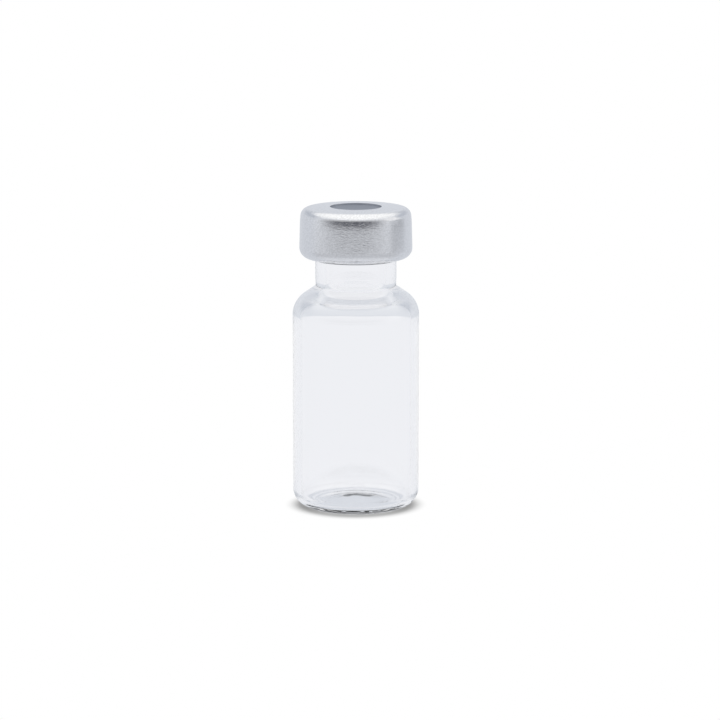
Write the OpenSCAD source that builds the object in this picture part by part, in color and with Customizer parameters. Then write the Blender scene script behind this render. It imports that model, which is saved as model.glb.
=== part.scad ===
// Crimp-top serum vial: a clear glass vial, its rubber stopper and the
// aluminium seal that is crimped under the finish of the neck.
// Every piece is turned about the Z axis. The origin is the centre of the
// standing ring, and all sizes are in millimetres.

/* [Glass body] */
// Outside diameter of the body
body_d = 15.4; // [13:0.1:20]
// Height of the glass, from the standing ring to the mouth
glass_h = 34.75; // [29:0.25:48]
// Wall of the body
wall = 1; // [0.7:0.05:1.3]
// Radius of the shoulder where it leaves the body
shoulder_r = 3.1; // [2:0.1:4]
// Fall of the shoulder for each millimetre outwards
shoulder_slope = 0.69; // [0.5:0.01:1]
// Wall of the shoulder where it meets the body
shoulder_wall = 1.18; // [0.9:0.02:1.4]
// Wall of the shoulder where it meets the neck
throat_wall = 1.37; // [1.1:0.01:1.5]
// Radius of the shoulder inside the cavity
inner_shoulder_r = 2.1; // [1.2:0.1:2.6]

/* [Base] */
// Glass in the middle of the base
base_wall = 0.75; // [0.6:0.05:1.2]
// Radius of the outside of the heel
heel_r = 2.2; // [1.6:0.1:2.6]
// Radius of the inside of the heel
inner_heel_r = 0.75; // [0.6:0.05:1.4]
// Width of the flat ring that the vial stands on
standing_w = 0.5; // [0.3:0.05:0.8]
// Rise of the hollow under the base
punt_h = 0.55; // [0.4:0.05:0.8]
// Fall of the inside floor from its middle to the heel
floor_fall = 0.37; // [0.2:0.01:0.5]

/* [Neck and finish] */
// Outside diameter of the neck
neck_d = 9.86; // [9:0.02:10.4]
// How far the waist, where the neck meets the shoulder, is let in
waist_in = 0.06; // [0.02:0.01:0.3]
// Height of the waist's narrowing
waist_h = 1.1; // [0.6:0.1:1.4]
// Height of the neck, from the shoulder to the finish
neck_h = 3.6; // [3:0.05:4.8]
// Bore of the neck
bore_d = 7.35; // [6.4:0.05:7.8]
// Round between the bore and the cavity
throat_r = 2.4; // [1:0.1:2.8]
// Outside diameter of the finish, the ring that the seal grips
finish_d = 13; // [12.4:0.05:14]
// Height of the finish
finish_h = 3.9; // [3.2:0.05:4.6]
// Round on the top edge of the finish
finish_top_r = 0.6; // [0.3:0.05:0.9]
// Round on the lower edge of the finish
finish_low_r = 0.95; // [0.5:0.05:1]
// Round between the neck and the finish
finish_root_r = 0.3; // [0.15:0.05:0.35]
// Round on the edge of the mouth
mouth_r = 0.4; // [0.2:0.05:0.6]

/* [Stopper] */
// Thickness of the stopper's flange, squeezed under the seal
flange_h = 1.95; // [1.6:0.05:2.6]
// Gap between the stopper's flange and the skirt of the seal
flange_clearance = 0.15; // [0.05:0.05:0.4]
// Length of the plug below the mouth
plug_l = 3.9; // [3.2:0.1:4.6]
// Gap between the plug and the bore
plug_clearance = 0.02; // [0.01:0.01:0.05]
// Round on the tip of the plug
plug_tip_r = 0.6; // [0.3:0.05:0.9]
// Diameter of the recess in the plug
recess_d = 3.4; // [2.4:0.1:4]
// Depth of the recess in the plug
recess_depth = 2.4; // [1.5:0.1:3]

/* [Seal] */
// Thickness of the aluminium
sheet = 0.2; // [0.16:0.01:0.24]
// Diameter of the open centre
centre_d = 6.26; // [5:0.02:8]
// Fall of the top from the open centre to the skirt
crown_fall = 0.16; // [0:0.02:0.3]
// Gap between the finish and the skirt
skirt_clearance = 0.07; // [0.01:0.01:0.12]
// Spread of the skirt towards its lower end, on each side
skirt_flare = 0.125; // [0:0.005:0.25]
// Lean of the upper skirt towards the middle, on each side
skirt_lean = 0.145; // [0.08:0.005:0.2]
// Height of the upper skirt
skirt_lean_h = 1.5; // [1.4:0.05:1.7]
// Outside radius of the bend where the upper skirt starts
skirt_bend_r = 3; // [1:0.25:3.25]
// Outside radius of the top edge
seal_top_r = 1; // [0.85:0.01:1.1]
// Outside radius of the curl under the finish
curl_r = 1.27; // [1:0.01:1.3]
// Length of the lip from the curl towards the neck
lip_l = 0.3; // [0.2:0.05:0.4]
// Least gap between the lip and the root of the finish
lip_clearance = 0.05; // [0.02:0.01:0.1]

/* [Hidden] */
$fn = 180;
// How far a round crosses its two lines, so that it meets them cleanly. A
// round between square lines touches them exactly and needs none.
slack = 0.0001;
body_r = body_d / 2;
neck_r = neck_d / 2;
waist_r = neck_r - waist_in;
bore_r = bore_d / 2;
finish_r = finish_d / 2;

// Rounds under the finish, as wide as its overhang leaves room for
overhang = finish_r - neck_r;
low_r = min(finish_low_r, 0.65 * overhang);
root_r = min(finish_root_r, 0.25 * overhang);

// Heights of the glass, from the mouth down
finish_z = glass_h - finish_h;
waist_z = finish_z - neck_h;
shoulder_z = slope_z(body_r);

// The cavity and the end of the bore lie under the slope, by the two walls
cavity_r = body_r - wall;
cavity_shoulder_z = slope_z(cavity_r) - upright(shoulder_wall);
bore_end_z = slope_z(bore_r) - upright(throat_wall);
floor_z = punt_h + base_wall;
punt_r = body_r - heel_r - standing_w;

// The seal, from the stopper's top down to the lip under the finish
stopper_top = glass_h + flange_h;
seal_top = stopper_top + sheet;
seal_bottom = finish_z - sheet;
centre_r = centre_d / 2;
skirt_r = finish_r + skirt_clearance + sheet;
skirt_top_r = skirt_r - skirt_lean;
skirt_low_r = skirt_r + skirt_flare;
skirt_z = crown_z(skirt_top_r) - skirt_lean_h;
skirt_turn = atan(skirt_lean / skirt_lean_h) - atan(skirt_flare / (skirt_z - seal_bottom));
bend_r = min(skirt_bend_r, 0.8 * (skirt_lean_h - seal_top_r) / abs(tan(skirt_turn / 2)));
skirt_curl_r = min(curl_r, skirt_low_r - finish_r + low_r - skirt_clearance);
lip_r = max(skirt_low_r - skirt_curl_r - lip_l, neck_r + root_r + lip_clearance);
flange_r = skirt_top_r - sheet - flange_clearance;

// Height of the shoulder's slope at a radius, and the height that a wall takes
// up under it
function slope_z(r) = waist_z - (r - waist_r) * shoulder_slope;
function upright(thickness) = thickness * norm([1, shoulder_slope]);

// Height of the seal's top at a radius outside the open centre
function crown_z(r) = seal_top - crown_fall * (r - centre_r) / (skirt_top_r - centre_r);

// Radius of the circle through the ends and the middle of an arch
function arch_r(half_width, height) = (half_width * half_width + height * height) / (2 * height);

// Geometry of a round corner: the point at i, its unit directions to the
// neighbours, and the distance from the corner to where the round starts
function point(outline, i) = let (p = outline[(i + len(outline)) % len(outline)]) [p[0], p[1]];
function towards(outline, i, step) =
    let (v = point(outline, i + step) - point(outline, i)) v / norm(v);
function half_angle(outline, i) =
    acos(towards(outline, i, -1) * towards(outline, i, 1)) / 2;
function set_back(outline, i) = outline[i][2] / tan(half_angle(outline, i));
function round_end(outline, i, step) =
    point(outline, i) + towards(outline, i, step) * set_back(outline, i);
function round_centre(outline, i) =
    let (v = towards(outline, i, -1) + towards(outline, i, 1))
    let (slack = half_angle(outline, i) == 45 ? 0 : slack)
    point(outline, i) + v / norm(v) * (outline[i][2] - slack) / sin(half_angle(outline, i));

// 1 at a corner that stands out of an outline drawn anticlockwise, -1 at one
// that is let in
function corner_side(outline, i) =
    sign(cross(point(outline, i) - point(outline, i - 1), point(outline, i + 1) - point(outline, i)));

// Corner of the slice that rounds the corner at i, at a share of the way from
// the round's centre to a point just past the round's end
function slice_corner(outline, i, step, share) =
    let (past = 2 * sqrt(2 * outline[i][2] * slack))
    round_centre(outline, i) + share *
        (round_end(outline, i, step) + past * towards(outline, i, step) - round_centre(outline, i));

// Slice of the disc that rounds the corner at i, from inside its chord
module round_slice(outline, i) {
    inside = 0.9;
    outside = 2;
    centre = round_centre(outline, i);
    intersection() {
        translate(centre) circle(outline[i][2]);
        polygon([
            slice_corner(outline, i, -1, inside),
            slice_corner(outline, i, -1, outside),
            centre + outside * (point(outline, i) - centre),
            slice_corner(outline, i, 1, outside),
            slice_corner(outline, i, 1, inside)
        ]);
    }
}

// Closed outline of points [r, z, round], anticlockwise, whose corners are
// true arcs of the given round, or sharp where it is 0
module rounded(outline) {
    corners = [for (i = [0 : len(outline) - 1]) if (outline[i][2] > 0) i];
    difference() {
        union() {
            polygon([
                for (i = [0 : len(outline) - 1])
                each outline[i][2] > 0
                    ? [round_end(outline, i, -1), round_end(outline, i, 1)]
                    : [point(outline, i)]
            ]);
            for (i = corners) if (corner_side(outline, i) > 0) round_slice(outline, i);
        }
        for (i = corners) if (corner_side(outline, i) < 0) round_slice(outline, i);
    }
}

// Outside of the glass, filled
module glass_outside() {
    rounded([
        [0, 0, 0],
        [body_r, 0, heel_r],
        [body_r, shoulder_z, shoulder_r],
        [waist_r, waist_z, 0.3],
        [neck_r, waist_z + waist_h, 2],
        [neck_r, finish_z, root_r],
        [finish_r, finish_z, low_r],
        [finish_r, glass_h, finish_top_r],
        [0, glass_h, 0]
    ]);
}

// Cavity and bore of the glass, open at the mouth
module glass_inside() {
    over = 1;
    rounded([
        [0, floor_z - floor_fall, 0],
        [cavity_r, floor_z - floor_fall, inner_heel_r],
        [cavity_r, cavity_shoulder_z, inner_shoulder_r],
        [bore_r, bore_end_z, throat_r],
        [bore_r, glass_h, mouth_r],
        [finish_r, glass_h, 0],
        [finish_r, glass_h + over, 0],
        [0, glass_h + over, 0]
    ]);
}

module glass_vial() {
    floor_r = cavity_r - inner_heel_r;
    punt_arch = arch_r(punt_r, punt_h);
    floor_arch = arch_r(floor_r, floor_fall);
    color([0.9, 0.94, 0.96, 0.4])
    rotate_extrude()
    difference() {
        glass_outside();
        translate([0, punt_h - punt_arch]) circle(punt_arch);
        difference() {
            glass_inside();
            translate([0, floor_z - floor_arch]) circle(floor_arch);
        }
    }
}

module rubber_stopper() {
    plug_r = bore_r - plug_clearance;
    plug_z = glass_h - plug_l;
    color([0.5, 0.52, 0.57])
    rotate_extrude()
    rounded([
        [0, plug_z + recess_depth, 0],
        [recess_d / 2, plug_z + recess_depth, plug_tip_r],
        [recess_d / 2, plug_z, 0],
        [plug_r, plug_z, plug_tip_r],
        [plug_r, glass_h, 0],
        [flange_r, glass_h, 0],
        [flange_r, crown_z(flange_r) - sheet - 5 * slack, seal_top_r],
        [centre_r, stopper_top, 0],
        [0, stopper_top, 0]
    ]);
}

// Outside of the seal, filled
module seal_outside() {
    rounded([
        [0, seal_bottom, 0],
        [skirt_low_r, seal_bottom, skirt_curl_r],
        [skirt_r, skirt_z, bend_r],
        [skirt_top_r, crown_z(skirt_top_r), seal_top_r],
        [centre_r, seal_top, 0],
        [0, seal_top, 0]
    ]);
}

// Inside of the seal, one sheet in from its outside
module seal_inside() {
    rounded([
        [0, finish_z, 0],
        [skirt_low_r - sheet, finish_z, skirt_curl_r - sheet],
        [skirt_r - sheet, skirt_z, bend_r - sheet],
        [skirt_top_r - sheet, crown_z(skirt_top_r - sheet) - sheet, seal_top_r - sheet],
        [centre_r, stopper_top, 0],
        [0, stopper_top, 0]
    ]);
}

module crimp_seal() {
    over = 1;
    color([0.8, 0.81, 0.83])
    rotate_extrude()
    difference() {
        seal_outside();
        seal_inside();
        translate([0, glass_h]) square([centre_r, flange_h + sheet + over]);
        translate([0, seal_bottom - over]) square([lip_r, sheet + 2 * over]);
    }
}

glass_vial();
rubber_stopper();
crimp_seal();
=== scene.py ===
"""Looks of a crimp-top glass sample vial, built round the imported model.

Each piece is turned from its half section, drawn in millimetres and brought to metres at the
end: the clear glass vial, the grey rubber stopper that closes it and the satin aluminium seal
crimped under the finish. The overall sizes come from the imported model.
"""

import logging
import math
from dataclasses import dataclass, field
from enum import Enum

import bpy
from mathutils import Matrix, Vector


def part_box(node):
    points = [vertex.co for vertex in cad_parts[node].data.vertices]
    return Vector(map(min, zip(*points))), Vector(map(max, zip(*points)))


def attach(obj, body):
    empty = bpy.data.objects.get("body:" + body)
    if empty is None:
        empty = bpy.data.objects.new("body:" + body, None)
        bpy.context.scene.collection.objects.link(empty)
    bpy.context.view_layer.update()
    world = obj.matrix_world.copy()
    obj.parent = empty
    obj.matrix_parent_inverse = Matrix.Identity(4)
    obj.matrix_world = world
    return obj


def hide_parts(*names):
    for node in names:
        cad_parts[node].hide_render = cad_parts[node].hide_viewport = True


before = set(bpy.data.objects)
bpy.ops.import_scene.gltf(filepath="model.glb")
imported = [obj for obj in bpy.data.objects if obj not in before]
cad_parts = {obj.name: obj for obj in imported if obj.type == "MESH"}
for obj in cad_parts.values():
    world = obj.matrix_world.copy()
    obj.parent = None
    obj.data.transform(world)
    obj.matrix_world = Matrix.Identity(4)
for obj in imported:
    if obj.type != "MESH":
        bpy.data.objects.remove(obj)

log = logging.getLogger("vial")

MM = 0.001
BODY = "root"
UP = (0.0, 0.0, 1.0)

Colour = tuple[float, float, float]
Point = tuple[float, float]

WHITE: Colour = (1.0, 1.0, 1.0)


class Slot(Enum):
    """Material slots of the record, one for each finish."""

    GLASS = "clear_glass"
    RUBBER = "grey_rubber"
    ALUMINIUM = "aluminium"


# ---------------------------------------------------------------- turning


@dataclass(frozen=True)
class Corner:
    """A corner of a half section, in millimetres from the axis and from the standing ring."""

    r: float
    z: float
    round: float = 0.0


@dataclass(frozen=True)
class Stroke:
    """One stretch of a half section: a straight line, or an arc about a centre.

    Attributes:
        end: Where the stretch ends.
        centre: Centre of the arc, or None for a straight line.
        sweep: Angle of the arc in radians, positive anticlockwise with r to the right.
    """

    end: Point
    centre: Point | None = None
    sweep: float = 0.0


def towards(start: Point, end: Point) -> Vector:
    """Returns the unit direction from one point to another."""
    return (Vector(end) - Vector(start)).normalized()


def arc_between(start: Point, end: Point, centre: Point) -> Stroke:
    """Makes the shorter arc about a centre.

    Args:
        start: Where the arc starts.
        end: Where it ends.
        centre: The centre that it turns about.

    Returns:
        The stroke from start to end.
    """
    a = Vector(start) - Vector(centre)
    b = Vector(end) - Vector(centre)
    sweep = math.atan2(a.x * b.y - a.y * b.x, a.dot(b))
    return Stroke(end, centre, sweep)


def dome(start: Point, end: Point) -> Stroke:
    """Makes an arc whose top or bottom lies on the axis.

    Args:
        start: Where the arc starts.
        end: Where it ends; one of the two lies on the axis.

    Returns:
        The stroke from start to end.
    """
    crown, rim = (start, end) if start[0] == 0 else (end, start)
    rise = crown[1] - rim[1]
    radius = (rim[0] ** 2 + rise**2) / (2 * rise)
    return arc_between(start, end, (0.0, crown[1] - radius))


def rounded(corners: list[Corner]) -> list[Stroke]:
    """Turns a row of corners into lines and true arcs.

    Args:
        corners: The corners in order. The first and last are ends, and stay sharp.

    Returns:
        The strokes from the first corner to the last.
    """
    strokes = []
    for before, here, after in zip(corners, corners[1:], corners[2:]):
        point = Vector((here.r, here.z))
        if here.round == 0:
            strokes.append(Stroke(tuple(point)))
            continue
        back = towards((here.r, here.z), (before.r, before.z))
        on = towards((here.r, here.z), (after.r, after.z))
        half = back.angle(on) / 2
        set_back = here.round / math.tan(half)
        centre = point + (back + on).normalized() * here.round / math.sin(half)
        start, end = point + back * set_back, point + on * set_back
        strokes.append(Stroke(tuple(start)))
        strokes.append(arc_between(tuple(start), tuple(end), tuple(centre)))
    strokes.append(Stroke((corners[-1].r, corners[-1].z)))
    return strokes


@dataclass
class Lathe:
    """Draws a half section and turns it about the Z axis.

    Attributes:
        turns: Steps of the full turn.
        arc_step: Largest step along an arc, in radians.
        line_step: Largest step along a straight line, in millimetres.
        weld: Distance under which points become one, in millimetres.
        crease: Angle above which an edge stays sharp, in radians.
    """

    turns: int = 192
    arc_step: float = math.radians(3.0)
    line_step: float = 0.8
    weld: float = 0.001
    crease: float = math.radians(32.0)

    def start(self, name: str, point: Point) -> bpy.types.Object:
        """Adds a small plane and gathers it into the first point of the section.

        Args:
            name: Name of the new piece.
            point: The section's first point.

        Returns:
            The new object, in edit mode with that point selected.
        """
        bpy.ops.object.select_all(action="DESELECT")
        bpy.ops.mesh.primitive_plane_add(size=1, location=(0, 0, 0))
        piece = bpy.context.object
        piece.name = piece.data.name = name
        bpy.ops.object.mode_set(mode="EDIT")
        bpy.ops.mesh.select_mode(type="VERT")
        bpy.ops.mesh.select_all(action="SELECT")
        bpy.ops.mesh.merge(type="CENTER")
        bpy.ops.transform.translate(value=(point[0], 0, point[1]))
        return piece

    def draw(self, start: Point, strokes: list[Stroke]) -> None:
        """Draws the section from the selected point by extruding and spinning it.

        Args:
            start: Where the selected point is.
            strokes: The stretches to draw, in order.
        """
        here = Vector(start)
        for stroke in strokes:
            end = Vector(stroke.end)
            if stroke.centre is None:
                steps = max(1, math.ceil((end - here).length / self.line_step))
                move = (end - here) / steps
                for _ in range(steps):
                    bpy.ops.mesh.extrude_region_move(
                        TRANSFORM_OT_translate={"value": (move.x, 0, move.y)}
                    )
            else:
                steps = max(2, math.ceil(abs(stroke.sweep) / self.arc_step))
                bpy.ops.mesh.spin(
                    steps=steps,
                    angle=stroke.sweep,
                    center=(stroke.centre[0], 0, stroke.centre[1]),
                    axis=(0, 1, 0),
                    use_auto_merge=False,
                )
            here = end

    def turn(self, piece: bpy.types.Object) -> bpy.types.Object:
        """Turns the drawn section into a closed skin, in metres, with its faces outwards.

        Args:
            piece: The object that holds the section, in edit mode.

        Returns:
            The same object, in object mode, smooth and with its place in its mesh.
        """
        bpy.ops.mesh.select_all(action="SELECT")
        bpy.ops.mesh.spin(
            steps=self.turns, angle=math.tau, center=(0, 0, 0), axis=UP, use_auto_merge=False
        )
        bpy.ops.mesh.select_all(action="SELECT")
        bpy.ops.mesh.remove_doubles(threshold=self.weld)
        bpy.ops.mesh.normals_make_consistent(inside=False)
        bpy.ops.mesh.select_all(action="DESELECT")
        bpy.ops.object.mode_set(mode="OBJECT")
        piece.scale = (MM, MM, MM)
        bpy.ops.object.transform_apply(location=True, rotation=True, scale=True)
        bpy.ops.object.shade_smooth_by_angle(angle=self.crease)
        return piece

    def make(self, name: str, start: Point, strokes: list[Stroke]) -> bpy.types.Object:
        """Draws and turns a piece.

        Args:
            name: Name of the new piece.
            start: The section's first point.
            strokes: Its stretches.

        Returns:
            The finished object.
        """
        piece = self.start(name, start)
        self.draw(start, strokes)
        return self.turn(piece)


# ---------------------------------------------------------------- finishes


class NodeSheet:
    """A node tree under construction, with short ways to add nodes and feed them."""

    def __init__(self, tree: bpy.types.NodeTree) -> None:
        """Empties the tree and keeps it."""
        self.tree = tree
        tree.nodes.clear()

    def add(self, kind: str, **settings: object) -> bpy.types.Node:
        """Adds a node.

        Args:
            kind: Blender's name of the node type.
            **settings: Attributes to set on the node.

        Returns:
            The new node.
        """
        node = self.tree.nodes.new(kind)
        for name, value in settings.items():
            setattr(node, name, value)
        return node

    def feed(self, value: object, target: bpy.types.NodeSocket) -> None:
        """Gives an input a number, a colour or what another socket sends.

        Args:
            value: A number, a Colour, or the socket to join.
            target: The input.
        """
        if isinstance(value, bpy.types.NodeSocket):
            self.tree.links.new(value, target)
        elif isinstance(value, tuple):
            target.default_value = (*value, 1.0)
        else:
            target.default_value = value

    def math(self, operation: str, *values: object) -> bpy.types.NodeSocket:
        """Adds a Math node.

        Args:
            operation: Name of the operation.
            *values: Numbers or sockets, one for each input.

        Returns:
            The result's socket.
        """
        node = self.add("ShaderNodeMath", operation=operation)
        for socket, value in zip(node.inputs, values):
            self.feed(value, socket)
        return node.outputs[0]

    def split(self, vector: bpy.types.NodeSocket) -> tuple[bpy.types.NodeSocket, ...]:
        """Splits a vector into its x, y and z."""
        node = self.add("ShaderNodeSeparateXYZ")
        self.feed(vector, node.inputs["Vector"])
        return tuple(node.outputs)

    def ramp(self, value: bpy.types.NodeSocket, low: float, high: float) -> bpy.types.NodeSocket:
        """Rises smoothly from 0 to 1 between two values.

        Args:
            value: The socket to read.
            low: Where the result is 0.
            high: Where the result is 1. It may be under low.

        Returns:
            The result's socket.
        """
        node = self.add("ShaderNodeMapRange", interpolation_type="SMOOTHSTEP")
        self.feed(value, node.inputs["Value"])
        node.inputs["From Min"].default_value = min(low, high)
        node.inputs["From Max"].default_value = max(low, high)
        node.inputs["To Min"].default_value = 0.0 if low < high else 1.0
        node.inputs["To Max"].default_value = 1.0 if low < high else 0.0
        return node.outputs["Result"]

    def blend(self, share: object, a: object, b: object) -> bpy.types.NodeSocket:
        """Blends two colours.

        Args:
            share: Share of the second colour, a number or a socket.
            a: First colour, or its socket.
            b: Second colour, or its socket.

        Returns:
            The result's socket.
        """
        node = self.add("ShaderNodeMix", data_type="RGBA")
        for name, value in (("Factor", share), ("A", a), ("B", b)):
            socket = next(
                s for s in node.inputs
                if s.name == name and s.type == ("VALUE" if name == "Factor" else "RGBA")
            )
            self.feed(value, socket)
        return next(s for s in node.outputs if s.type == "RGBA")

    def streaks(self, size: Point, detail: float) -> bpy.types.NodeSocket:
        """Spreads noise over a piece.

        Args:
            size: Width and height of its spots, in millimetres.
            detail: How much finer noise is laid over it.

        Returns:
            The noise's socket, about 0.5 in the mean.
        """
        stretch = self.add("ShaderNodeMapping")
        along, up = (1 / (side * MM) for side in size)
        stretch.inputs["Scale"].default_value = (along, along, up)
        place = self.add("ShaderNodeTexCoord")
        self.feed(place.outputs["Object"], stretch.inputs["Vector"])
        noise = self.add("ShaderNodeTexNoise")
        self.feed(1.0, noise.inputs["Scale"])
        self.feed(detail, noise.inputs["Detail"])
        self.feed(stretch.outputs["Vector"], noise.inputs["Vector"])
        return noise.outputs["Fac"]

    def bump(
        self, height: bpy.types.NodeSocket, depth: float, strength: object = 1.0
    ) -> bpy.types.NodeSocket:
        """Makes a surface uneven.

        Args:
            height: The socket of the heights, from 0 to 1.
            depth: Depth of the unevenness, in millimetres.
            strength: Share of it that shows, a number or a socket.

        Returns:
            The normal's socket.
        """
        node = self.add("ShaderNodeBump")
        node.inputs["Distance"].default_value = depth * MM
        self.feed(strength, node.inputs["Strength"])
        self.feed(height, node.inputs["Height"])
        return node.outputs["Normal"]


def new_material(name: str) -> tuple[bpy.types.Material, NodeSheet]:
    """Makes a material with an empty node sheet.

    Args:
        name: Name of the material.

    Returns:
        The material and its sheet.
    """
    material = bpy.data.materials.new(name)
    material.use_nodes = True
    return material, NodeSheet(material.node_tree)


def new_finish(name: str) -> tuple[bpy.types.Material, NodeSheet, bpy.types.Node]:
    """Makes a material of one shader, joined to its output.

    Args:
        name: Name of the material.

    Returns:
        The material, its sheet and the shader.
    """
    material, sheet = new_material(name)
    shader = sheet.add("ShaderNodeBsdfPrincipled")
    output = sheet.add("ShaderNodeOutputMaterial")
    sheet.feed(shader.outputs["BSDF"], output.inputs["Surface"])
    return material, sheet, shader


@dataclass(frozen=True)
class ClearGlass:
    """Clear drawn glass, fire polished, and wavy where the flame formed it.

    Attributes:
        tint: Colour that the glass passes.
        ior: How strongly it bends light.
        wave: Width and height of the waves, in millimetres.
        wave_detail: How much finer the waves get.
        wave_depth: Depth of the waves, in millimetres.
        base_end: Level where the formed base ends, in millimetres.
        shoulder: Levels where the formed shoulder starts and ends, in millimetres.
        shoulder_share: Depth of the waves at the shoulder, as a share of those at the base.
        fade: Height over which the waves fade out, in millimetres.
    """

    tint: Colour = (1.0, 1.0, 1.0)
    ior: float = 1.5
    wave: Point = (2.6, 1.6)
    wave_detail: float = 1.0
    wave_depth: float = 0.05
    base_end: float = 1.5
    shoulder: Point = (24.0, 25.5)
    shoulder_share: float = 0.3
    fade: float = 1.5

    def material(self) -> bpy.types.Material:
        """Makes the material."""
        material, sheet, shader = new_finish("clear_glass")
        place = sheet.add("ShaderNodeTexCoord")
        level = sheet.math("DIVIDE", sheet.split(place.outputs["Object"])[2], MM)
        base = sheet.ramp(level, self.base_end + self.fade, self.base_end)
        start, end = self.shoulder
        shoulder = sheet.math(
            "MULTIPLY",
            sheet.ramp(level, start - self.fade, start),
            sheet.ramp(level, end + self.fade, end),
        )
        shoulder = sheet.math("MULTIPLY", shoulder, self.shoulder_share)
        formed = sheet.math("MAXIMUM", base, shoulder)
        waves = sheet.streaks(self.wave, self.wave_detail)
        sheet.feed(self.tint, shader.inputs["Base Color"])
        sheet.feed(0.0, shader.inputs["Roughness"])
        sheet.feed(self.ior, shader.inputs["IOR"])
        sheet.feed(1.0, shader.inputs["Transmission Weight"])
        sheet.feed(sheet.bump(waves, self.wave_depth, formed), shader.inputs["Normal"])
        return material


@dataclass(frozen=True)
class SatinAluminium:
    """Rolled aluminium with a satin surface, whose fine grain lies level.

    Attributes:
        colour: Colour of the metal.
        fleck_colour: Colour of the dull flecks in it.
        roughness: Its mean roughness.
        roughness_spread: How far the roughness varies along the grain.
        grain: Width and height of the grain, in millimetres.
        grain_detail: How much finer the grain gets.
        grain_depth: Depth of the grain, in millimetres.
        fleck: Width and height of the flecks, in millimetres.
        fleck_detail: How much finer the flecks get.
        fleck_edge: Noise at which a fleck is full and at which it has gone.
    """

    colour: Colour = (0.84, 0.845, 0.86)
    fleck_colour: Colour = (0.76, 0.765, 0.78)
    roughness: float = 0.16
    roughness_spread: float = 0.06
    grain: Point = (0.5, 0.14)
    grain_detail: float = 3.0
    grain_depth: float = 0.01
    fleck: Point = (0.2, 0.12)
    fleck_detail: float = 1.0
    fleck_edge: Point = (0.35, 0.65)

    def material(self) -> bpy.types.Material:
        """Makes the material."""
        material, sheet, shader = new_finish("satin_aluminium")
        grain = sheet.streaks(self.grain, self.grain_detail)
        clear = sheet.ramp(sheet.streaks(self.fleck, self.fleck_detail), *self.fleck_edge)
        spread = sheet.math("SUBTRACT", grain, 0.5)
        spread = sheet.math("MULTIPLY", spread, 2 * self.roughness_spread)
        sheet.feed(sheet.blend(clear, self.fleck_colour, self.colour), shader.inputs["Base Color"])
        sheet.feed(1.0, shader.inputs["Metallic"])
        sheet.feed(sheet.math("ADD", spread, self.roughness), shader.inputs["Roughness"])
        sheet.feed(sheet.bump(grain, self.grain_depth), shader.inputs["Normal"])
        return material


@dataclass(frozen=True)
class GreyRubber:
    """Moulded grey rubber, smooth with a faint mottle.

    Attributes:
        colour: Colour of the rubber.
        pale_colour: Colour of the paler spots of its mottle.
        roughness: Lowest and highest roughness.
        mottle: Size of the mottle, in millimetres.
        mottle_detail: How much finer the mottle gets.
        mottle_edge: Noise at which a pale spot starts and at which it is full.
        mottle_depth: Depth of its unevenness, in millimetres.
    """

    colour: Colour = (0.18, 0.20, 0.25)
    pale_colour: Colour = (0.20, 0.22, 0.27)
    roughness: Point = (0.45, 0.55)
    mottle: float = 0.35
    mottle_detail: float = 2.0
    mottle_edge: Point = (0.3, 0.7)
    mottle_depth: float = 0.004

    def material(self) -> bpy.types.Material:
        """Makes the material."""
        material, sheet, shader = new_finish("grey_rubber")
        mottle = sheet.streaks((self.mottle, self.mottle), self.mottle_detail)
        pale = sheet.ramp(mottle, *self.mottle_edge)
        smooth, matt = self.roughness
        rise = sheet.math("MULTIPLY", pale, matt - smooth)
        sheet.feed(sheet.blend(pale, self.colour, self.pale_colour), shader.inputs["Base Color"])
        sheet.feed(sheet.math("ADD", rise, smooth), shader.inputs["Roughness"])
        sheet.feed(sheet.bump(mottle, self.mottle_depth), shader.inputs["Normal"])
        return material


def dress(piece: bpy.types.Object, material: bpy.types.Material) -> None:
    """Gives a piece its material.

    Args:
        piece: The piece to dress.
        material: Its material.
    """
    piece.data.materials.clear()
    piece.data.materials.append(material)


# ---------------------------------------------------------------- pieces


def packed_size(node: str) -> tuple[float, float, float]:
    """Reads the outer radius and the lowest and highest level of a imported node.

    Args:
        node: Name of the node.

    Returns:
        The radius, the lowest and the highest level, in millimetres.
    """
    low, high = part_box(node)
    return high.x / MM, low.z / MM, high.z / MM


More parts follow.
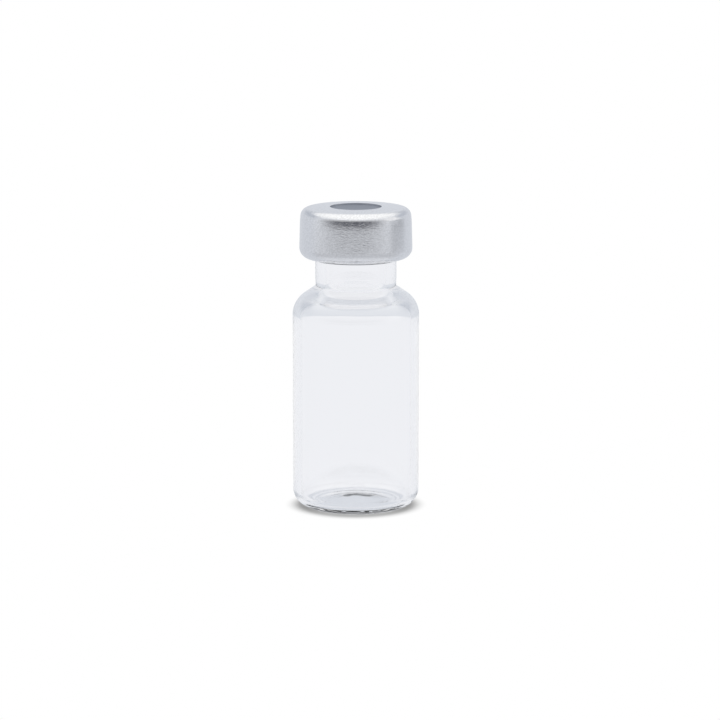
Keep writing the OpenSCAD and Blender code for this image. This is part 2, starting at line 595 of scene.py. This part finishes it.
@dataclass
class GlassVial:
    """The glass: base, body, shoulder, neck and finish in one drawn skin.

    All sizes are in millimetres.

    Attributes:
        wall: Wall of the body.
        shoulder_r: Round between body and shoulder.
        shoulder_slope: Fall of the shoulder for each step outwards.
        shoulder_wall: Wall at the foot of the shoulder.
        throat_wall: Wall at the top of the shoulder.
        inner_shoulder_r: Round between body and shoulder on the inside.
        base_wall: Thickness of the base in its middle.
        heel_r: Round between base and body.
        inner_heel_r: Round at the edge of the floor inside.
        standing_w: Width of the ring that the vial stands on.
        punt_h: Height of the hollow under the base.
        floor_fall: Fall of the floor inside from its middle to its edge.
        neck_r: Radius of the neck under the finish.
        waist_r: Radius of its waist.
        waist_h: Height over which the waist widens to the neck.
        waist_foot_r: Round between shoulder and waist.
        waist_bend_r: Round between waist and neck.
        neck_h: Height of waist and neck together.
        bore_r: Radius of the bore.
        throat_r: Round at the lower end of the bore.
        mouth_r: Round at its upper end.
        finish_r: Radius of the finish.
        finish_h: Height of the finish.
        finish_top_r: Round at its upper edge.
        finish_low_r: Round at its lower edge.
        finish_root_r: Round between neck and finish.
        finish: The glass that it is made of.
    """

    wall: float = 1.0
    shoulder_r: float = 3.1
    shoulder_slope: float = 0.69
    shoulder_wall: float = 1.18
    throat_wall: float = 1.37
    inner_shoulder_r: float = 2.1
    base_wall: float = 0.75
    heel_r: float = 2.2
    inner_heel_r: float = 0.75
    standing_w: float = 0.5
    punt_h: float = 0.55
    floor_fall: float = 0.37
    neck_r: float = 4.93
    waist_r: float = 4.87
    waist_h: float = 1.1
    waist_foot_r: float = 0.3
    waist_bend_r: float = 2.0
    neck_h: float = 3.6
    bore_r: float = 3.675
    throat_r: float = 2.4
    mouth_r: float = 0.4
    finish_r: float = 6.5
    finish_h: float = 3.9
    finish_top_r: float = 0.6
    finish_low_r: float = 0.95
    finish_root_r: float = 0.54
    finish: ClearGlass = field(default_factory=ClearGlass)

    def slope_z(self, r: float, wall: float = 0.0) -> float:
        """Returns the level of the shoulder's slope at a radius, or that much wall under it."""
        mouth_z = packed_size("glass_vial")[2]
        waist_z = mouth_z - self.finish_h - self.neck_h
        slope = self.shoulder_slope
        return waist_z - (r - self.waist_r) * slope - wall * math.hypot(1, slope)

    def section(self) -> tuple[Point, list[Stroke]]:
        """Works out the half section.

        Returns:
            Its first point, in the middle of the base, and its strokes up the outside and
            down the inside to the middle of the floor.
        """
        body_r, _, mouth_z = packed_size("glass_vial")
        finish_z = mouth_z - self.finish_h
        waist_z = finish_z - self.neck_h
        cavity_r = body_r - self.wall
        punt_r = body_r - self.heel_r - self.standing_w
        floor_z = self.punt_h + self.base_wall
        floor_edge = (cavity_r - self.inner_heel_r, floor_z - self.floor_fall)
        start = (0.0, self.punt_h)
        strokes = [dome(start, (punt_r, 0.0))]
        strokes += rounded([
            Corner(punt_r, 0),
            Corner(body_r, 0, self.heel_r),
            Corner(body_r, self.slope_z(body_r), self.shoulder_r),
            Corner(self.waist_r, waist_z, self.waist_foot_r),
            Corner(self.neck_r, waist_z + self.waist_h, self.waist_bend_r),
            Corner(self.neck_r, finish_z, self.finish_root_r),
            Corner(self.finish_r, finish_z, self.finish_low_r),
            Corner(self.finish_r, mouth_z, self.finish_top_r),
            Corner(self.bore_r, mouth_z, self.mouth_r),
            Corner(self.bore_r, self.slope_z(self.bore_r, self.throat_wall), self.throat_r),
            Corner(cavity_r, self.slope_z(cavity_r, self.shoulder_wall), self.inner_shoulder_r),
            Corner(cavity_r, floor_edge[1], self.inner_heel_r),
            Corner(*floor_edge),
        ])
        strokes.append(dome(floor_edge, (0.0, floor_z)))
        return start, strokes

    def build(self, lathe: Lathe) -> bpy.types.Object:
        """Makes the glass and puts it in the place of its node.

        Args:
            lathe: The lathe to turn it on.

        Returns:
            The dressed piece.
        """
        piece = lathe.make("vial_glass", *self.section())
        dress(piece, self.finish.material())
        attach(piece, BODY)
        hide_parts("glass_vial")
        return piece


@dataclass
class CrimpSeal:
    """The aluminium seal: an open-centred top, a skirt and the lip rolled under the finish.

    All sizes are in millimetres.

    Attributes:
        sheet: Thickness of the sheet.
        centre_r: Radius of the open centre.
        crown_fall: Fall of the top from the open centre to the skirt.
        skirt_flare: How far the skirt flares below its bend.
        skirt_lean: How far it leans in above its bend.
        skirt_lean_h: Height from the bend to the top's edge.
        lean_r: Round at the bend.
        top_r: Round between top and skirt.
        curl_r: Round of the curl under the finish.
        lip_l: Length of the lip from the curl towards the neck.
        finish: The metal that it is made of.
    """

    sheet: float = 0.2
    centre_r: float = 3.13
    crown_fall: float = 0.16
    skirt_flare: float = 0.125
    skirt_lean: float = 0.145
    skirt_lean_h: float = 1.5
    lean_r: float = 11.0
    top_r: float = 1.0
    curl_r: float = 1.27
    lip_l: float = 0.15
    finish: SatinAluminium = field(default_factory=SatinAluminium)

    def skirt_low_r(self) -> float:
        """Returns the radius at which the skirt's side would meet the level of its lip.

        The curl cuts that corner off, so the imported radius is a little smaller.
        """
        packed_r, bottom, top = packed_size("crimp_seal")
        lean = math.atan(self.skirt_flare / (top - self.crown_fall - self.skirt_lean_h - bottom))
        return packed_r + self.curl_r * (math.tan(lean) + 1 / math.cos(lean) - 1)

    def crown_z(self, r: float) -> float:
        """Returns the level of the top at a radius outside the open centre."""
        top = packed_size("crimp_seal")[2]
        skirt_r = self.skirt_low_r() - self.skirt_flare - self.skirt_lean
        return top - self.crown_fall * (r - self.centre_r) / (skirt_r - self.centre_r)

    def section(self) -> tuple[Point, list[Stroke]]:
        """Works out the half section of the sheet.

        Returns:
            Its first point, at the lower edge of the open centre, and its strokes.
        """
        _, bottom, top = packed_size("crimp_seal")
        low_r = self.skirt_low_r()
        lean_r = low_r - self.skirt_flare
        skirt_r = lean_r - self.skirt_lean
        lean_z = self.crown_z(skirt_r) - self.skirt_lean_h
        lip_r = low_r - self.curl_r - self.lip_l
        inner = self.sheet
        start = (self.centre_r, top - inner)
        strokes = rounded([
            Corner(*start),
            Corner(
                skirt_r - inner, self.crown_z(skirt_r - inner) - inner, self.top_r - inner
            ),
            Corner(lean_r - inner, lean_z, self.lean_r - inner),
            Corner(low_r - inner, bottom + inner, self.curl_r - inner),
            Corner(lip_r, bottom + inner),
            Corner(lip_r, bottom),
            Corner(low_r, bottom, self.curl_r),
            Corner(lean_r, lean_z, self.lean_r),
            Corner(skirt_r, self.crown_z(skirt_r), self.top_r),
            Corner(self.centre_r, top),
            Corner(*start),
        ])
        return start, strokes

    def build(self, lathe: Lathe) -> bpy.types.Object:
        """Makes the seal and puts it in the place of its node.

        Args:
            lathe: The lathe to turn it on.

        Returns:
            The dressed piece.
        """
        piece = lathe.make("seal_aluminium", *self.section())
        dress(piece, self.finish.material())
        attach(piece, BODY)
        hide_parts("crimp_seal")
        return piece


@dataclass
class RubberStopper:
    """The rubber stopper: a flange squeezed under the seal and a hollow plug in the bore.

    All sizes are in millimetres.

    Attributes:
        flange_h: Height of the flange.
        flange_edge_r: Round at its upper edge.
        plug_r: Radius of the plug.
        tip_r: Rounds at the plug's tip and in its recess.
        recess_r: Radius of the recess in the plug.
        recess_depth: Depth of the recess.
        finish: The rubber that it is made of.
    """

    flange_h: float = 1.95
    flange_edge_r: float = 1.0
    plug_r: float = 3.655
    tip_r: float = 0.6
    recess_r: float = 1.7
    recess_depth: float = 2.4
    finish: GreyRubber = field(default_factory=GreyRubber)

    def section(self, seal: CrimpSeal) -> tuple[Point, list[Stroke]]:
        """Works out the half section.

        Args:
            seal: The seal that presses on the flange.

        Returns:
            Its first point, in the roof of the plug's recess, and its strokes.
        """
        flange_r, tip_z, top = packed_size("rubber_stopper")
        seat_z = top - self.flange_h
        start = (0.0, tip_z + self.recess_depth)
        strokes = rounded([
            Corner(*start),
            Corner(self.recess_r, start[1], self.tip_r),
            Corner(self.recess_r, tip_z),
            Corner(self.plug_r, tip_z, self.tip_r),
            Corner(self.plug_r, seat_z),
            Corner(flange_r, seat_z),
            Corner(flange_r, seal.crown_z(flange_r) - seal.sheet, self.flange_edge_r),
            Corner(seal.centre_r, top),
            Corner(0, top),
        ])
        return start, strokes

    def build(self, lathe: Lathe, seal: CrimpSeal) -> bpy.types.Object:
        """Makes the stopper and puts it in the place of its node.

        Args:
            lathe: The lathe to turn it on.
            seal: The seal that presses on it.

        Returns:
            The dressed piece.
        """
        piece = lathe.make("stopper_rubber", *self.section(seal))
        dress(piece, self.finish.material())
        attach(piece, BODY)
        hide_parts("rubber_stopper")
        return piece


# ---------------------------------------------------------------- studio


@dataclass(frozen=True)
class Viewpoint:
    """The camera, in millimetres and degrees.

    Attributes:
        distance: From the point that it looks at.
        level: Height of that point above the floor.
        elevation: How far the camera stands above the horizontal.
        field: Width of the view.
        shift: How far the picture is shifted, as a share of its width.
        clip: Nearest and farthest that it shows, in metres.
    """

    distance: float = 418.0
    level: float = 18.2
    elevation: float = 10.3
    field: float = 12.0
    shift: Point = (0.00575, -0.0022)
    clip: Point = (0.01, 20.0)

    def build(self) -> bpy.types.Object:
        """Adds the camera and makes it the scene's own."""
        aim = Vector((0, 0, self.level * MM))
        tilt = math.radians(self.elevation)
        back = Vector((0, -math.cos(tilt), math.sin(tilt)))
        bpy.ops.object.camera_add(location=aim + back * self.distance * MM)
        camera = bpy.context.object
        camera.rotation_euler = (-back).to_track_quat("-Z", "Y").to_euler()
        camera.data.angle = math.radians(self.field)
        camera.data.shift_x, camera.data.shift_y = self.shift
        camera.data.clip_start, camera.data.clip_end = self.clip
        bpy.context.scene.camera = camera
        return camera


@dataclass(frozen=True)
class Zone:
    """A softly bounded patch of the surround, in degrees as the seal sees it.

    Attributes:
        colour: What the patch shows.
        azimuth: Its middle; 0 is the camera's side and 90 is to the right.
        half_width: Half its width; 180 is all round.
        side_edge: Width of its soft sides.
        low: Its lower edge; 0 is the horizon.
        high: Its upper edge.
        low_edge: Width of the soft lower edge.
        high_edge: Width of the soft upper edge.
    """

    colour: Colour
    azimuth: float = 0.0
    half_width: float = 180.0
    side_edge: float = 20.0
    low: float = -100.0
    high: float = 100.0
    low_edge: float = 4.0
    high_edge: float = 10.0

    def share(
        self, sheet: NodeSheet, turn: bpy.types.NodeSocket, level: bpy.types.NodeSocket
    ) -> bpy.types.NodeSocket:
        """Finds how much of the patch shows in a direction.

        Args:
            sheet: The sheet to work on.
            turn: Azimuth of the direction.
            level: Its elevation.

        Returns:
            The socket of the share, from 0 to 1.
        """
        share = sheet.math(
            "MULTIPLY",
            sheet.ramp(level, self.low - self.low_edge / 2, self.low + self.low_edge / 2),
            sheet.ramp(level, self.high + self.high_edge / 2, self.high - self.high_edge / 2),
        )
        if self.half_width < 180:
            off = sheet.math("SUBTRACT", turn, self.azimuth)
            off = sheet.math("ABSOLUTE", sheet.math("WRAP", off, 180.0, -180.0))
            inner = self.half_width - self.side_edge / 2
            outer = self.half_width + self.side_edge / 2
            share = sheet.math("MULTIPLY", share, sheet.ramp(off, outer, inner))
        return share


@dataclass(frozen=True)
class Studio:
    """A pale surround with softly bounded zones, over a pale floor.

    Attributes:
        surround: Colour of the surround outside its zones.
        zones: Patches laid over the surround in turn. The camera sees plain white instead.
        glint_zone: One more patch of floor, which only polished surfaces mirror.
        seal_height: Height that the zones on the floor are seen from, in metres.
        floor_size: Length of the floor's sides, in metres.
        floor_colour: Colour of the floor, which lights the pieces from below.
        floor_through: Colour of the floor as the glass shows it.
        shade_reach: How far from the floor a piece still shades it, in metres.
        shade_samples: Rays that look for open sky from each spot of the floor.
        shade: Share of open sky at which the painted shadow on the floor is darkest and at which
            the floor is white.
        shade_tone: Colour of the painted shadow where it is darkest.
        front_painted_shadow_tone: Lighter colour of the painted shadow on the camera's side,
            painted as if light came in low there.
        front: Azimuths at which that side starts and is full.
        under: The same shares of open sky for the painted shadow on the floor under the glass.
        under_painted_shadow_tone: Colour of that painted shadow, as the glass shows it where it is
            darkest.
        bounces: How often a ray is followed through the glass.
    """

    surround: Colour = (0.80, 0.82, 0.86)
    zones: tuple[Zone, ...] = (
        # The floor, darker towards the horizon and pale near the vial
        Zone((0.62, 0.635, 0.67), high=-7, high_edge=6),
        Zone((0.80, 0.82, 0.86), high=-38, high_edge=30),
        # The light overhead
        Zone((1.17, 1.17, 1.16), low=40, low_edge=40),
        # The dull wall behind, and its two darker ends higher up
        Zone(
            (0.72, 0.745, 0.795),
            azimuth=180, half_width=85, side_edge=30,
            high=22, high_edge=20,
        ),
        Zone(
            (0.58, 0.61, 0.67),
            azimuth=132, half_width=34, side_edge=30,
            low=16, high=36, low_edge=12, high_edge=12,
        ),
        Zone(
            (0.58, 0.61, 0.67),
            azimuth=-132, half_width=34, side_edge=30,
            low=16, high=36, low_edge=12, high_edge=12,
        ),
        # A pale panel on the right, and the dark gap under it
        Zone((1.0, 1.0, 1.01), azimuth=82, half_width=20, side_edge=24, low=4, high=34),
        Zone(
            (0.50, 0.515, 0.55),
            azimuth=96, half_width=20, side_edge=20,
            low=-7, high=1, low_edge=4, high_edge=4,
        ),
        # The unlit room on the camera's side, darkest just over the horizon
        Zone(
            (0.42, 0.42, 0.43),
            azimuth=-8, half_width=57, side_edge=70,
            low=-4, high=26, low_edge=5, high_edge=24,
        ),
        Zone(
            (0.03, 0.035, 0.06),
            azimuth=-8, half_width=50, side_edge=64,
            low=0, high=7.5, low_edge=3, high_edge=12,
        ),
    )
    glint_zone: Zone = Zone(
        (1.0, 1.0, 1.01),
        azimuth=180, half_width=52, side_edge=40,
        high=-14, high_edge=3,
    )
    seal_height: float = 0.034
    floor_size: float = 12.0
    floor_colour: Colour = (0.9, 0.9, 0.9)
    floor_through: Colour = (0.871, 0.880, 0.914)
    shade_reach: float = 0.0026
    shade_samples: int = 16
    shade: Point = (0.2, 0.8)
    # Colours of the painted contact shadow on the floor
    shade_tone: Colour = (0.32, 0.32, 0.32)
    front_painted_shadow_tone: Colour = (0.46, 0.46, 0.46)
    front: Point = (75.0, 25.0)
    # Painted shadow under the vial, as the glass shows it
    under: Point = (0.05, 0.3)
    under_painted_shadow_tone: Colour = (0.63, 0.66, 0.72)
    bounces: int = 24

    def azimuth(
        self, sheet: NodeSheet, x: bpy.types.NodeSocket, y: bpy.types.NodeSocket
    ) -> bpy.types.NodeSocket:
        """Finds an azimuth, 0 on the camera's side and 90 on the right.

        Args:
            sheet: The sheet to work on.
            x: The direction's x.
            y: Its y.

        Returns:
            The socket of the azimuth, in degrees.
        """
        return sheet.math("DEGREES", sheet.math("ARCTAN2", x, sheet.math("MULTIPLY", y, -1.0)))

    def tone(
        self, sheet: NodeSheet, turn: bpy.types.NodeSocket, level: bpy.types.NodeSocket
    ) -> bpy.types.NodeSocket:
        """Finds the surround's colour in a direction.

        Args:
            sheet: The sheet to work on.
            turn: Azimuth of the direction.
            level: Its elevation.

        Returns:
            The colour's socket.
        """
        colour = self.surround
        for zone in self.zones:
            colour = sheet.blend(zone.share(sheet, turn, level), colour, zone.colour)
        return colour

    def world(self) -> None:
        """Makes the world: white for the camera, the surround for other rays."""
        world = bpy.data.worlds.new("studio")
        bpy.context.scene.world = world
        world.use_nodes = True
        sheet = NodeSheet(world.node_tree)
        x, y, z = sheet.split(sheet.add("ShaderNodeTexCoord").outputs["Generated"])
        level = sheet.math("DEGREES", sheet.math("ARCSINE", z))
        tone = self.tone(sheet, self.azimuth(sheet, x, y), level)
        rays = sheet.add("ShaderNodeLightPath")
        background = sheet.add("ShaderNodeBackground")
        output = sheet.add("ShaderNodeOutputWorld")
        sheet.feed(
            sheet.blend(rays.outputs["Is Camera Ray"], tone, WHITE), background.inputs["Color"]
        )
        sheet.feed(background.outputs["Background"], output.inputs["Surface"])

    def floor_shown(
        self, sheet: NodeSheet, rays: bpy.types.Node, mirrored: bpy.types.NodeSocket
    ) -> bpy.types.NodeSocket:
        """Finds what the floor shows to the camera, through the glass and in reflections; the
        camera and the glass see a shadow painted from ambient occlusion.

        Args:
            sheet: The sheet to work on.
            rays: The node that tells the kinds of ray apart.
            mirrored: 1 for the rays of a reflection.

        Returns:
            The colour's socket.
        """
        x, y, _ = sheet.split(sheet.add("ShaderNodeTexCoord").outputs["Object"])
        turn = self.azimuth(sheet, x, y)
        away = sheet.math(
            "SQRT", sheet.math("ADD", sheet.math("MULTIPLY", x, x), sheet.math("MULTIPLY", y, y))
        )
        level = sheet.math("DEGREES", sheet.math("ARCTAN2", -self.seal_height, away))
        # Painted contact shadow: the camera sees the floor's colour darkened by ambient occlusion,
        # not by light, and lighter on the camera's side.
        node = sheet.add("ShaderNodeAmbientOcclusion", samples=self.shade_samples)
        node.inputs["Distance"].default_value = self.shade_reach
        sky = node.outputs["AO"]
        front = sheet.ramp(sheet.math("ABSOLUTE", turn), *self.front)
        painted_shadow_colour = sheet.blend(front, self.shade_tone, self.front_painted_shadow_tone)
        seen = sheet.blend(sheet.ramp(sky, *self.shade), painted_shadow_colour, WHITE)
        # Through the glass, the floor under the vial shows a painted bluish shadow.
        behind = sheet.blend(sheet.ramp(sky, *self.under), self.under_painted_shadow_tone, self.floor_through)
        glint = self.glint_zone.share(sheet, turn, level)
        glint = sheet.math("MULTIPLY", glint, rays.outputs["Is Singular Ray"])
        tone = sheet.blend(glint, self.tone(sheet, turn, level), self.glint_zone.colour)
        other = sheet.blend(mirrored, behind, tone)
        return sheet.blend(rays.outputs["Is Camera Ray"], other, seen)

    def floor(self) -> None:
        """Lays the pale floor, which carries the zones below the horizon in reflections."""
        bpy.ops.object.select_all(action="DESELECT")
        bpy.ops.mesh.primitive_plane_add(size=self.floor_size, location=(0, 0, 0))
        floor = bpy.context.object
        floor.name = "floor"
        material, sheet = new_material("pale_floor")
        rays = sheet.add("ShaderNodeLightPath")
        through = rays.outputs["Is Transmission Ray"]
        mirrored = sheet.math(
            "MULTIPLY", rays.outputs["Is Glossy Ray"], sheet.math("SUBTRACT", 1.0, through)
        )
        shown = sheet.math("ADD", mirrored, through)
        shown = sheet.math("ADD", shown, rays.outputs["Is Camera Ray"])
        surface = sheet.add("ShaderNodeBsdfDiffuse")
        flat = sheet.add("ShaderNodeEmission")
        mixed = sheet.add("ShaderNodeMixShader")
        output = sheet.add("ShaderNodeOutputMaterial")
        sheet.feed(self.floor_colour, surface.inputs["Color"])
        sheet.feed(self.floor_shown(sheet, rays, mirrored), flat.inputs["Color"])
        sheet.feed(shown, mixed.inputs["Fac"])
        sheet.feed(surface.outputs["BSDF"], mixed.inputs[1])
        sheet.feed(flat.outputs["Emission"], mixed.inputs[2])
        sheet.feed(mixed.outputs["Shader"], output.inputs["Surface"])
        floor.data.materials.append(material)

    def build(self) -> None:
        """Sets up the surround and the floor."""
        self.world()
        self.floor()
        scene = bpy.context.scene
        scene.view_settings.view_transform = "Standard"
        scene.cycles.max_bounces = self.bounces
        scene.cycles.transmission_bounces = self.bounces


def main() -> None:
    """Builds the camera, the pieces and the studio, and reports each piece."""
    logging.basicConfig(level=logging.INFO, format="%(name)s: %(message)s")
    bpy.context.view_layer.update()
    Viewpoint().build()
    lathe = Lathe()
    seal = CrimpSeal()
    pieces = [
        GlassVial().build(lathe),
        RubberStopper().build(lathe, seal),
        seal.build(lathe),
    ]
    for piece in pieces:
        log.info("%s: %d faces", piece.name, len(piece.data.polygons))
    Studio().build()


if __name__ == "__main__":
    main()
